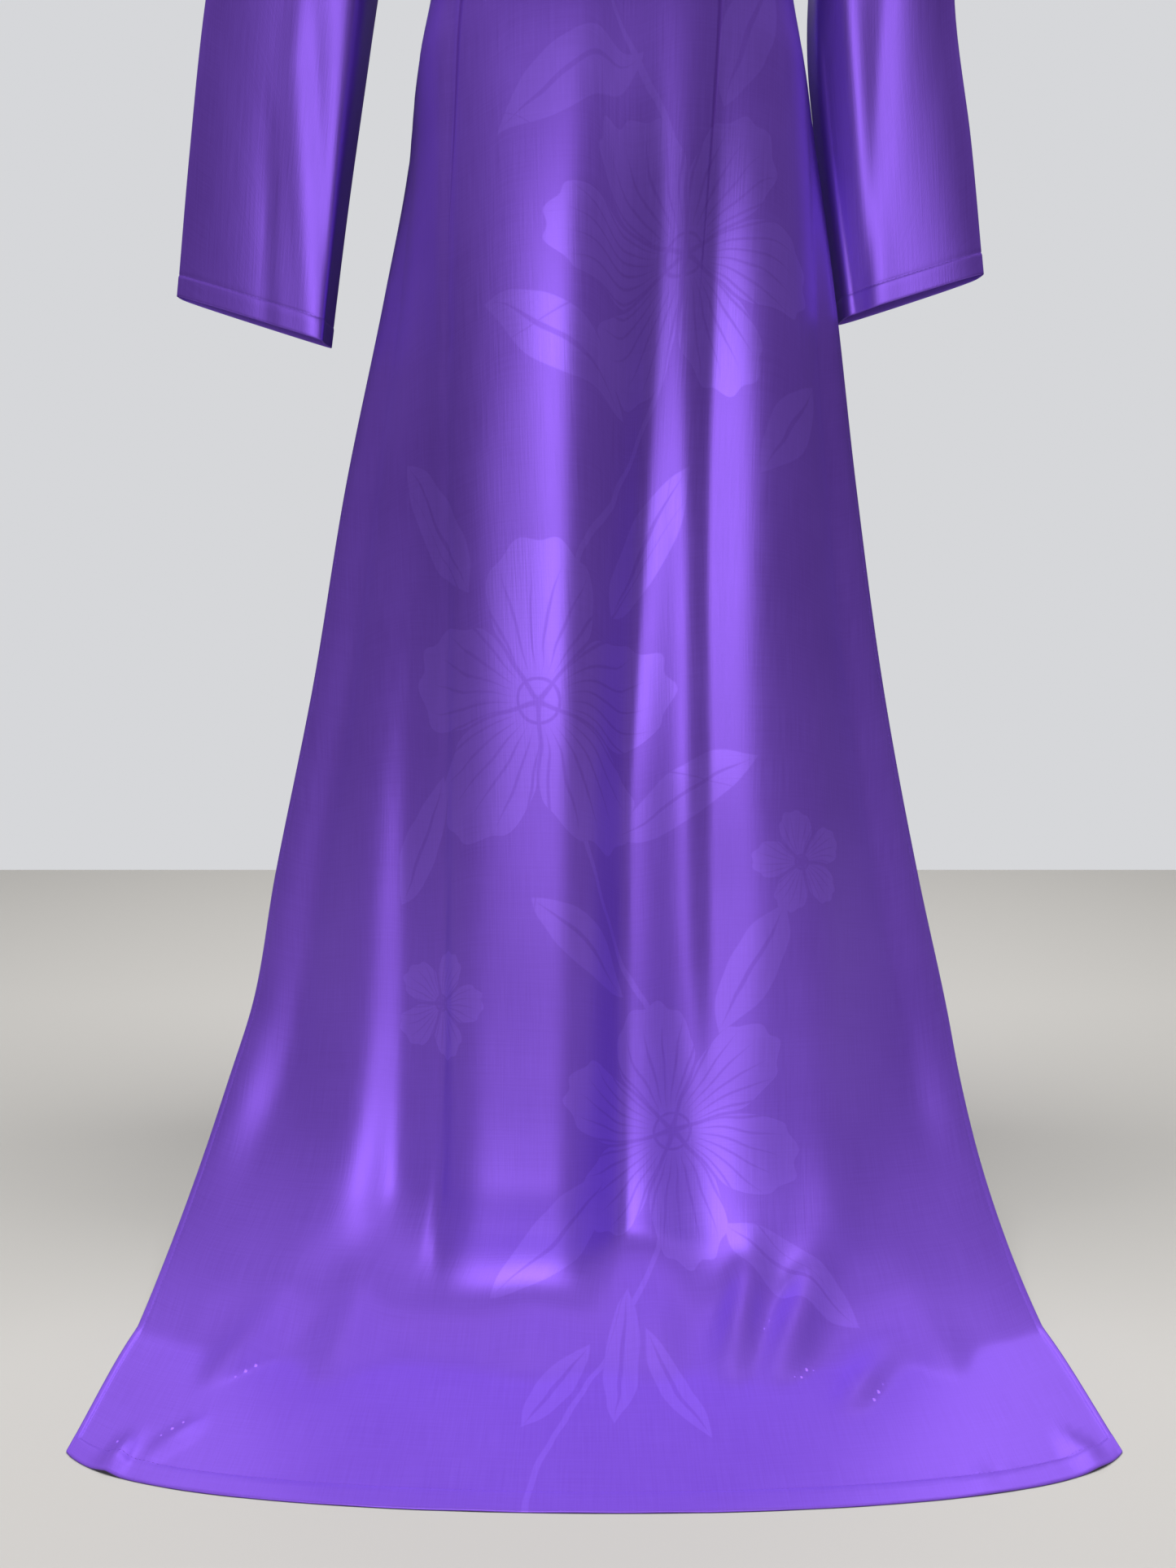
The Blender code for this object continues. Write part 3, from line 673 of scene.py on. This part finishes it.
BACK_WAVES = (
    (-0.090, 0.222,  0.042,  0.014,  100,     0.010),
    (-0.034, 0.232,  0.036,  0.013,  86,      0.008),
    (0.062,  0.226,  0.044,  0.015,  92,      0.010),
    (0.168,  0.200,  0.040,  0.014,  72,      0.008),
    (-0.190, 0.206,  0.044,  0.016,  112,     0.009),
    (0.232,  0.268,  0.026,  0.010,  60,      0.005),
)
WAVE_REACH = 0.09  # height above the floor at which the waves have died out
RIPPLE = 0.0007
#    across  up     offset
RIPPLES = (
    (61.0,   7.0,   0.3),
    (34.0,   -15.0, 1.9),
    (97.0,   11.0,  4.1),
    (18.0,   41.0,  2.6),
)
FLOOR_GAP = 0.0001  # keeps the cloth's lower face just clear of the floor
PUCKER_SPACING = 0.021
PUCKER_DRIFT = 19.0  # how fast the puckers' spacing changes along the hem


def with_waves(grid, waves):
    """The panel with its waves pushed up where it lies on the floor or bends on to it."""
    raised = np.zeros(grid.shape[:2])
    for x, y, half_length, half_width, degrees, height in waves:
        turn = math.radians(degrees)
        along = (grid[..., 0] - x) * math.cos(turn) + (grid[..., 1] - y) * math.sin(turn)
        aside = (grid[..., 1] - y) * math.cos(turn) - (grid[..., 0] - x) * math.sin(turn)
        raised += height * np.exp(-(along / half_length) ** 2 - (aside / half_width) ** 2)
    grid = grid.copy()
    grid[..., 2] += raised * ease((WAVE_REACH - grid[..., 2]) / WAVE_REACH)
    return grid


def rippled(cut):
    """How far the cloth's faint ripple moves it, at cut coordinates."""
    return sum(RIPPLE / len(RIPPLES) * np.sin(across * cut[..., 0] + up * cut[..., 1] + offset)
               for across, up, offset in RIPPLES)


def puckered(cut):
    """The small puckers that sewing draws up beside the hem's stitches."""
    along = cut[..., 0] * (2 * math.pi / PUCKER_SPACING) + 3 * np.sin(cut[..., 0] * PUCKER_DRIFT)
    return PUCKER * np.sin(along) * np.exp(-((cut[..., 1] - HEM_BAND) / PUCKER_REACH) ** 2)


def above_floor(grid, thick):
    """Lifts what would sink into the floor until it lies on it."""
    grid = grid.copy()
    grid[..., 2] = np.maximum(grid[..., 2], thick / 2 + FLOOR_GAP)
    return grid


# %% [markdown]
# Now the five pieces are sewn together, so to speak. Each keeps the points of its outer face,
# because the stitches are laid on them later.

# %% The five cloth pieces
COLLAR_THICKNESS = 0.0018  # two layers of satin with an interlining between them
SLEEVE_STEP = 0.004  # from one column of a sleeve to the next, along its raglan seam
FAR = 9.0  # a point so far away is outside the cloth
pieces = {}
faces_out = {}
cuts = {}


def make_piece(name, grid, cut, thick, outside, ring=False):
    normals = grid_normals(grid, ring, outside)
    pieces[name] = wall(name + "_cloth", grid, normals, cut, thick, ring)
    faces_out[name] = (grid + normals * (thick / 2)[..., None], normals)
    cuts[name] = cut


for name, grid, waves, outside in (("front", front_grid, FRONT_WAVES, (0.0, -FAR, 1.0)),
                                   ("back", back_grid, BACK_WAVES, (0.0, FAR, 1.0))):
    cut = cut_coordinates(grid)
    grid = with_waves(grid, waves)
    normals = grid_normals(grid, False, outside)
    sewn_grid, thick = panel_finish(grid, normals)
    from_side = cut[:, -1:, 0] - np.abs(cut[..., 0])
    calm = ease(from_side / HEM_BAND) * ease((cut[-1:, :, 1] - cut[..., 1]) / HEM_BAND)
    small = rippled(cut) * calm + puckered(cut)
    sewn_grid = above_floor(sewn_grid + normals * small[..., None], thick)
    make_piece(name, sewn_grid, cut, thick, outside)
for name, grid, side in (("sleeve_right", right_sleeve_grid, -1), ("sleeve_left", left_sleeve_grid, 1)):
    outside = (FAR * side, 0.0, 1.0)
    normals = grid_normals(grid, True, outside)
    down = running_length(grid)
    from_cuff = down[-1] - down
    move = sewn(down, np.arange(grid.shape[1]) * SLEEVE_STEP) + stitched(from_cuff, HEM_BAND)
    thick = CLOTH + turned(from_cuff, HEM_BAND)
    make_piece(name, grid + normals * move[..., None], cut_coordinates(grid), thick, outside, True)
make_piece("collar", collar_points, cut_coordinates(collar_points),
           np.full(collar_points.shape[:2], COLLAR_THICKNESS), (0.0, FAR, NECK_HEIGHT))

# %% [markdown]
# The hems are sewn by hand or machine with short stitches of violet thread, about three
# millimetres apart. Each stitch is a tiny spindle with six corners. All the stitches of a piece
# are joined into one mesh, which is far lighter than thousands of separate objects.

# %% Stitches
STITCH_PITCH = 0.0031
STITCH_HALF_LENGTH = 0.0011
STITCH_HALF_WIDTH = 0.00019
STITCH_RISE = 0.00016  # how far a stitch stands above the cloth's face at its middle
STITCH_SINK = 0.00012
HEM_ROW = HEM_PLACES.index(HEM_BAND)
EDGE_COLUMN = 5  # the column of EDGE_PLACES nearest to the stitch line of the slit's edge hem
SPINDLE = ((0, 2, 4), (2, 1, 4), (1, 3, 4), (3, 0, 4), (2, 0, 5), (1, 2, 5), (3, 1, 5), (0, 3, 5))


def stitch_line(points, normals):
    """The corners of the spindles along a line of points on the cloth's face."""
    known = running_length(points)
    count = int(known[-1] / STITCH_PITCH)
    middles = (np.arange(count) + 0.5) * known[-1] / count

    def at(values, places):
        return np.stack([np.interp(places, known, values[:, axis]) for axis in range(3)], axis=-1)

    start = at(points, middles - STITCH_HALF_LENGTH)
    end = at(points, middles + STITCH_HALF_LENGTH)
    middle = at(points, middles)
    up = unit(at(normals, middles))
    aside = unit(np.cross(end - start, up)) * STITCH_HALF_WIDTH
    corners_of = [start, end, middle - aside, middle + aside,
                  middle + up * STITCH_RISE, middle - up * STITCH_SINK]
    return np.stack(corners_of, axis=1)


def make_stitches(name, lines):
    spindles = np.concatenate([stitch_line(points, normals) for points, normals in lines])
    points = spindles.reshape(-1, 3) - (0.0, 0.0, NECK_HEIGHT)
    faces = (np.arange(len(spindles))[:, None, None] * 6 + np.array(SPINDLE)).reshape(-1, 3)
    mesh = bpy.data.meshes.new(name)
    mesh.from_pydata(points.tolist(), [], faces.tolist())
    mesh.shade_smooth()
    print(name, len(spindles), "stitches")
    return new_object(name, mesh)


stitches = {}
for name, grid in (("front", front_grid), ("back", back_grid)):
    points, normals = faces_out[name]
    slit_row = int(np.argmax(grid[:, 0, 2] > SLIT_HEIGHT - HEM_BAND))
    lines = [(points[HEM_ROW], normals[HEM_ROW])]
    for column in (EDGE_COLUMN, -1 - EDGE_COLUMN):
        rows = slice(HEM_ROW, slit_row)
        lines.append((points[rows, column], normals[rows, column]))
    stitches[name] = make_stitches(name + "_stitches", lines)
for name in ("sleeve_right", "sleeve_left"):
    points, normals = faces_out[name]
    row = -1 - HEM_ROW
    stitches[name] = make_stitches(name + "_stitches", [(points[row], normals[row])])

# %% [markdown]
# A material is sums and products of values that vary over the cloth. In the shader editor each
# sum is a Math node, and hundreds of them are hard to follow. So a value is wrapped in a small
# class: when Python adds or multiplies it, the class adds the Math node and its links.

# %% Values and finishes
def maths(operation, swapped=False):
    """A method that adds one Math node, with its two numbers swapped where that is wanted."""
    def method(self, other=0.0):
        first, second = (other, self) if swapped else (self, other)
        return self.finish.node("Math", {"operation": operation}, {0: first, 1: second})
    return method


class Value:
    """A number that varies over the cloth. Arithmetic with it adds Math nodes."""

    def __init__(self, finish, socket):
        self.finish = finish
        self.socket = socket

    __add__ = __radd__ = maths("ADD")
    __sub__ = maths("SUBTRACT")
    __rsub__ = maths("SUBTRACT", True)
    __mul__ = __rmul__ = maths("MULTIPLY")
    __truediv__ = maths("DIVIDE")
    __rtruediv__ = maths("DIVIDE", True)
    __pow__ = maths("POWER")
    __rpow__ = maths("POWER", True)
    size = maths("ABSOLUTE")
    wave = maths("SINE")
    least = maths("MINIMUM")

    def inside(self, blur):
        """1 where a distance is below zero and 0 where it is above, with a soft edge."""
        return self.finish.node("MapRange", {"interpolation_type": "SMOOTHSTEP"},
                                {"Value": self, "From Min": blur, "From Max": -blur})


class Finish:
    """A material with a Principled shader. One method adds any other node to it."""

    def __init__(self, name):
        self.material = bpy.data.materials.new(name)
        self.material.use_nodes = True
        self.tree = self.material.node_tree
        self.shader = self.tree.nodes["Principled BSDF"]

    def node(self, kind, settings, inputs, output=0):
        made = self.tree.nodes.new("ShaderNode" + kind)
        for key, setting in settings.items():
            setattr(made, key, setting)
        for key, value in inputs.items():
            self.fill(made.inputs[key], value)
        return Value(self, made.outputs[output])

    def fill(self, socket, value):
        if isinstance(value, Value):
            self.tree.links.new(value.socket, socket)
        else:
            socket.default_value = value

    def set(self, **values):
        """Fills the shader's own sockets, whose names are given with _ for each space."""
        for name, value in values.items():
            self.fill(self.shader.inputs[name.replace("_", " ")], value)

    def cloth(self):
        """The cut coordinates in metres: x is across the cloth and y is up it."""
        return self.node("UVMap", {"uv_map": "cut"}, {})

    def grain(self, cloth, across, up):
        """Noise between 0 and 1, stretched along one of the cloth's two threads."""
        stretched = self.node("VectorMath", {"operation": "MULTIPLY"},
                              {0: cloth, 1: (across, up, 1.0)})
        return self.node("TexNoise", {}, {"Vector": stretched, "Scale": 1.0})


# %% [markdown]
# The figure is woven in, tone on tone: the same violet threads float longer there, so that it
# gleams a little more than the ground. A plain garland takes its place on the front panel: a
# winding stem with open blossoms and leaves. Every shape is a signed distance in metres, which
# is below zero inside, and the smaller of two distances joins two shapes.

# %% Woven garland
WOVEN_EDGE = 0.0007
LEAF_RIB = 0.0034
RIB_SHARE = 0.86
STEM_HALF_WIDTH = 0.0022
STEM_SWING = 0.055
STEM_WAVELENGTH = 0.63
STEM_START = 0.30
WANDER = 0.010  # how far a noise bends the drawing, so that no outline is quite even
WANDER_SCALE = 22.0
PETAL_FULLNESS = 0.55
PETAL_LENGTH = 0.62
HEART = 0.36
FRILL = 0.022
FRILLS = 5  # half waves of the frill on each petal
VEINS = 6  # veins of a petal
VEIN_TWIST = 0.16
VEIN_START = 0.20
VEIN_END = 0.80
VEIN_WIDTH = 0.10
GAP_WIDTH = 0.0016
GAP_TAPER = 0.0010
HEART_RING = 0.13
RING_WIDTH = 0.0011
#    across  up     radius  petals  turn
BLOSSOMS = (
    (0.050,  0.300, 0.104,  6,      0.2),
    (-0.060, 0.615, 0.116,  5,      0.9),
    (0.052,  0.930, 0.102,  6,      0.5),
    (-0.045, 1.215, 0.062,  5,      0.1),
    (0.150,  0.500, 0.040,  5,      1.2),
    (-0.150, 0.395, 0.044,  5,      0.6),
)
#    across  up     degrees  length  width
LEAVES = (
    (0.135,  0.190, -42,     0.120,  0.042),
    (-0.048, 0.222, 48,      0.125,  0.044),
    (0.112,  0.420, 62,      0.110,  0.038),
    (-0.028, 0.442, -38,     0.105,  0.036),
    (-0.168, 0.520, 66,      0.110,  0.036),
    (0.058,  0.556, 24,      0.120,  0.042),
    (-0.140, 0.752, -58,     0.120,  0.042),
    (0.030,  0.740, 58,      0.120,  0.040),
    (-0.040, 0.862, -32,     0.115,  0.040),
    (0.140,  0.826, 58,      0.095,  0.034),
    (-0.030, 1.030, 36,      0.120,  0.040),
    (0.094,  1.075, 72,      0.105,  0.036),
    (0.006,  0.128, 84,      0.110,  0.026),
    (0.042,  0.104, 112,     0.100,  0.022),
    (-0.040, 0.106, 60,      0.090,  0.024),
)


def moved(finish, cloth, across, up, turn):
    """Cut coordinates seen from a shape: its middle is at 0, 0 and x runs along it."""
    return finish.node("Mapping", {"vector_type": "TEXTURE"},
                       {"Vector": cloth, "Location": (across, up, 0.0), "Rotation": (0.0, 0.0, turn)})


def lens(finish, place, length, width):
    """A pointed leaf shape, bounded by two arcs of one radius."""
    radius = (length ** 2 + width ** 2) / (4 * width)
    mirrored = finish.node("VectorMath", {"operation": "ABSOLUTE"}, {0: place})
    shifted = finish.node("VectorMath", {"operation": "ADD"},
                          {0: mirrored, 1: (0.0, radius - width / 2, 0.0)})
    reach = finish.node("VectorMath", {"operation": "LENGTH"}, {0: shifted}, "Value")
    return reach - radius


def blossom(finish, place, radius, petals):
    """An open flower's outline, and the strokes of bare ground inside it."""
    x = finish.node("SeparateXYZ", {}, {0: place}, "X")
    y = finish.node("SeparateXYZ", {}, {0: place}, "Y")
    angle = finish.node("Math", {"operation": "ARCTAN2"}, {0: y, 1: x})
    reach = finish.node("VectorMath", {"operation": "LENGTH"}, {0: place}, "Value")
    share = reach / radius
    petal = (angle * (petals / 2)).wave().size()
    frill = (angle * (petals * FRILLS) + 1.0).wave() * (radius * FRILL)
    full = petal ** PETAL_FULLNESS * (radius * PETAL_LENGTH)
    outline = reach - (full + radius * HEART + frill)
    veins_apart = 2 * math.pi / petals / VEINS
    twisted = angle + share * VEIN_TWIST
    aside = finish.node("Math", {"operation": "PINGPONG"}, {0: twisted, 1: veins_apart / 2})
    taper = (share - VEIN_START) * (VEIN_END - share) * (radius * VEIN_WIDTH)
    veins = aside * reach - taper
    gaps = petal * reach * (2 / petals) - (GAP_WIDTH - share * GAP_TAPER)
    heart = (share - HEART_RING).size() * radius - RING_WIDTH
    return outline, veins.least(gaps).least(heart)


def woven(finish, cloth):
    """The garland: 1 where it is woven and 0 on the ground."""
    noise = finish.node("TexNoise", {}, {"Vector": cloth, "Scale": WANDER_SCALE, "Detail": 1.0}, "Color")
    centred = finish.node("VectorMath", {"operation": "SUBTRACT"}, {0: noise, 1: (0.5, 0.5, 0.5)})
    offset = finish.node("VectorMath", {"operation": "MULTIPLY"},
                         {0: centred, 1: (WANDER, WANDER, 0.0)})
    drawn = finish.node("VectorMath", {"operation": "ADD"}, {0: cloth, 1: offset})
    across = finish.node("SeparateXYZ", {}, {0: drawn}, "X")
    up = finish.node("SeparateXYZ", {}, {0: drawn}, "Y")
    swing = ((up - STEM_START) * (2 * math.pi / STEM_WAVELENGTH) + math.pi / 2).wave() * STEM_SWING
    shapes = (across - swing).size() - STEM_HALF_WIDTH
    bare = None
    for place_across, place_up, radius, petals, turn in BLOSSOMS:
        place = moved(finish, drawn, place_across, place_up, turn)
        outline, strokes = blossom(finish, place, radius, petals)
        shapes = shapes.least(outline)
        bare = strokes if bare is None else bare.least(strokes)
    for place_across, place_up, degrees, length, width in LEAVES:
        place = moved(finish, drawn, place_across, place_up, math.radians(degrees))
        shapes = shapes.least(lens(finish, place, length, width))
        bare = bare.least(lens(finish, place, length * RIB_SHARE, LEAF_RIB))
    return shapes.inside(WOVEN_EDGE) * (1 - bare.inside(WOVEN_EDGE))


# %% [markdown]
# Satin shines because long threads lie side by side. It reflects its own colour, as metal does,
# so part of the shader is metallic, and the streaks of single threads run up and across the
# cloth. Handling leaves duller patches. The reverse of the cloth shows the crossing threads
# instead: it is flatter in tone and hardly shines.

# %% Satin
DARK_VIOLET = (0.155, 0.056, 0.480, 1.0)
LIGHT_VIOLET = (0.255, 0.116, 0.730, 1.0)
WARP = (900.0, 24.0)
WEFT = (22.0, 760.0)
WARP_SHARE = 0.6
WEFT_SHARE = 0.4
PATCHES = 9.0
WEAVE_STRENGTH = 0.35
WEAVE_HEIGHT = 0.00025
SPECULAR_LEVEL = 0.3
TONE = (0.60, 0.36, 0.32)  # of the threads, of the patches and even
ROUGHNESS = (0.16, 0.10)  # of the threads and of the patches
FACE = (0.385, 0.66)  # even roughness and metallic
REVERSE = (0.55, 0.18)
FIGURE_TONE = 0.30
FIGURE_ROUGHNESS = 0.03
DART_TONE = 0.8
DART_DEPTH = 4.0
DART_WIDTH = 0.0024
DART_BLUR = 0.0012
#    lower end        upper end
DARTS = (
    ((-0.110, 0.792), (-0.086, 1.085)),
    ((0.063, 0.762),  (0.080, 1.085)),
)


def dart_lines(finish, cloth):
    """The two waist darts of the front: sewn lines that taper to nothing at both ends."""
    grid, cut = front_grid, cuts["front"]
    nearest = None
    for ends in DARTS:
        spots = []
        for x, height in ends:
            miss = np.abs(grid[..., 0] - x) + np.abs(grid[..., 2] - height)
            spots.append(cut[np.unravel_index(np.argmin(miss), miss.shape)])
        low, high = spots
        middle, run = (low + high) / 2, high - low
        place = moved(finish, cloth, middle[0], middle[1], math.atan2(run[1], run[0]))
        line = lens(finish, place, math.hypot(*run), DART_WIDTH)
        nearest = line if nearest is None else nearest.least(line)
    return nearest


def satin(name, figured, shine):
    """The cloth's finish. Only the front's has the garland and the dart lines."""
    finish = Finish(name)
    cloth = finish.cloth()
    warp = finish.grain(cloth, *WARP)
    weft = finish.grain(cloth, *WEFT)
    patches = finish.grain(cloth, PATCHES, PATCHES)
    height = warp * WARP_SHARE + weft * WEFT_SHARE
    threads = height - 0.5
    tone = threads * TONE[0] + patches * TONE[1] + TONE[2]
    roughness = threads * ROUGHNESS[0] + patches * ROUGHNESS[1] + shine[0]
    if figured:
        figure = woven(finish, cloth)
        tone = tone + figure * FIGURE_TONE
        roughness = roughness - figure * FIGURE_ROUGHNESS
        dart = dart_lines(finish, cloth).inside(DART_BLUR)
        tone = tone - dart * DART_TONE
        height = height - dart * DART_DEPTH
    colour = finish.node("Mix", {"data_type": "RGBA"},
                         {"Factor": tone, 6: DARK_VIOLET, 7: LIGHT_VIOLET}, 2)
    bump = finish.node("Bump", {}, {"Strength": WEAVE_STRENGTH, "Distance": WEAVE_HEIGHT,
                                    "Height": height})
    finish.set(Base_Color=colour, Roughness=roughness, Metallic=shine[1], Normal=bump,
               Specular_IOR_Level=SPECULAR_LEVEL)
    print(name, len(finish.tree.nodes), "nodes")
    return finish.material


figured_satin = satin("figured_satin", True, FACE)
plain_satin = satin("plain_satin", False, FACE)
satin_reverse = satin("satin_reverse", False, REVERSE)

# %% [markdown]
# Sewing thread is spun from many fibres, so it is duller than satin and its twist shows as
# short slanting bands. It has no cut coordinates, so its bands follow the object's own.

# %% Thread
THREAD_DARK = (0.080, 0.026, 0.300, 1.0)
THREAD_LIGHT = (0.150, 0.060, 0.470, 1.0)
TWISTS = 700.0
THREAD_ROUGHNESS = 0.5
TWIST_ROUGHNESS = 0.1

thread = Finish("violet_thread")
spot = thread.node("TexCoord", {}, {}, "Object")
twist = thread.node("TexWave", {}, {"Vector": spot, "Scale": TWISTS, "Distortion": 1.0}, "Fac")
thread_colour = thread.node("Mix", {"data_type": "RGBA"},
                            {"Factor": twist, 6: THREAD_DARK, 7: THREAD_LIGHT}, 2)
thread.set(Base_Color=thread_colour, Roughness=twist * TWIST_ROUGHNESS + THREAD_ROUGHNESS)

# %% [markdown]
# Each piece gets its outer and inner finish and stands for its solid. Every one is a flat cut
# of cloth before it is sewn.

# %% Finish the pieces
for name, piece in pieces.items():
    piece.data.materials.append(figured_satin if name == "front" else plain_satin)
    piece.data.materials.append(satin_reverse)
    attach(piece, "root")
    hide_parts(name)
for name, piece in stitches.items():
    piece.data.materials.append(thread.material)
    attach(piece, "root")
print("pieces", len(pieces) + len(stitches))

# %% [markdown]
# The stage is a plain pale floor under the hem and an even pale backdrop, which is the world
# itself. Satin shows what it mirrors, so the lights matter as much as the material. A tall
# softbox in front draws the long highlights down the folds, a wide one overhead lights the
# cloth on the floor, and one behind lights the back. The one overhead is left out of
# reflections, because its mirror image would draw a hard bright band across the bend.

# %% Floor
FLOOR_HALF = 4.0
FLOOR_BACK = 1.1
FLOOR_COLOUR = (0.22, 0.214, 0.204, 1)
FLOOR_ROUGHNESS = 0.6
corners_of_floor = [(-FLOOR_HALF, -FLOOR_HALF, 0), (FLOOR_HALF, -FLOOR_HALF, 0),
                    (FLOOR_HALF, FLOOR_BACK, 0), (-FLOOR_HALF, FLOOR_BACK, 0)]
floor_mesh = bpy.data.meshes.new("floor")
floor_mesh.from_pydata(corners_of_floor, [], [(0, 1, 2, 3)])
floor = new_object("floor", floor_mesh)
floor.location.z = -NECK_HEIGHT
pale = Finish("pale_floor")
pale.set(Base_Color=FLOOR_COLOUR, Roughness=FLOOR_ROUGHNESS)
floor.data.materials.append(pale.material)

# %% Backdrop and lights
FILL = 0.03  # strength of the backdrop's light on the cloth
BACKDROP = 0.70  # how bright the backdrop itself looks
BACKDROP_COLOUR = (0.96, 0.97, 1.0, 1)
world = bpy.data.worlds.new("world")
world.use_nodes = True
backdrop = world.node_tree.nodes["Background"]
backdrop.inputs["Color"].default_value = BACKDROP_COLOUR
seen = world.node_tree.nodes.new("ShaderNodeLightPath")
levels = world.node_tree.nodes.new("ShaderNodeMapRange")
world.node_tree.links.new(seen.outputs["Is Camera Ray"], levels.inputs["Value"])
levels.inputs["To Min"].default_value = FILL
levels.inputs["To Max"].default_value = BACKDROP
world.node_tree.links.new(levels.outputs["Result"], backdrop.inputs["Strength"])
bpy.context.scene.world = world
#     name             x      y     z     tilt  turn  width  height  watts
SOFTBOXES = (
    ("front_softbox", -0.34, -3.0, -0.15, 90,  -6,   1.5,   2.2,    43),
    ("top_softbox",   0.0,   -0.2, 1.80, 0,    0,    3.0,   0.6,    320),
    ("rear_softbox",  0.2,   2.4,  1.60, -48,  0,    2.6,   1.4,    44),
)
for name, x, y, z, tilt, turn, width, height, watts in SOFTBOXES:
    data = bpy.data.lights.new(name, "AREA")
    data.shape = "RECTANGLE"
    data.size = width
    data.size_y = height
    data.energy = watts
    softbox = new_object(name, data)
    softbox.location = (x, y, z)
    softbox.rotation_euler = (math.radians(tilt), 0.0, math.radians(turn))
    softbox.visible_camera = False
    softbox.visible_glossy = name != "top_softbox"
bpy.context.scene.view_settings.view_transform = "Standard"
print(len(SOFTBOXES), "softboxes")
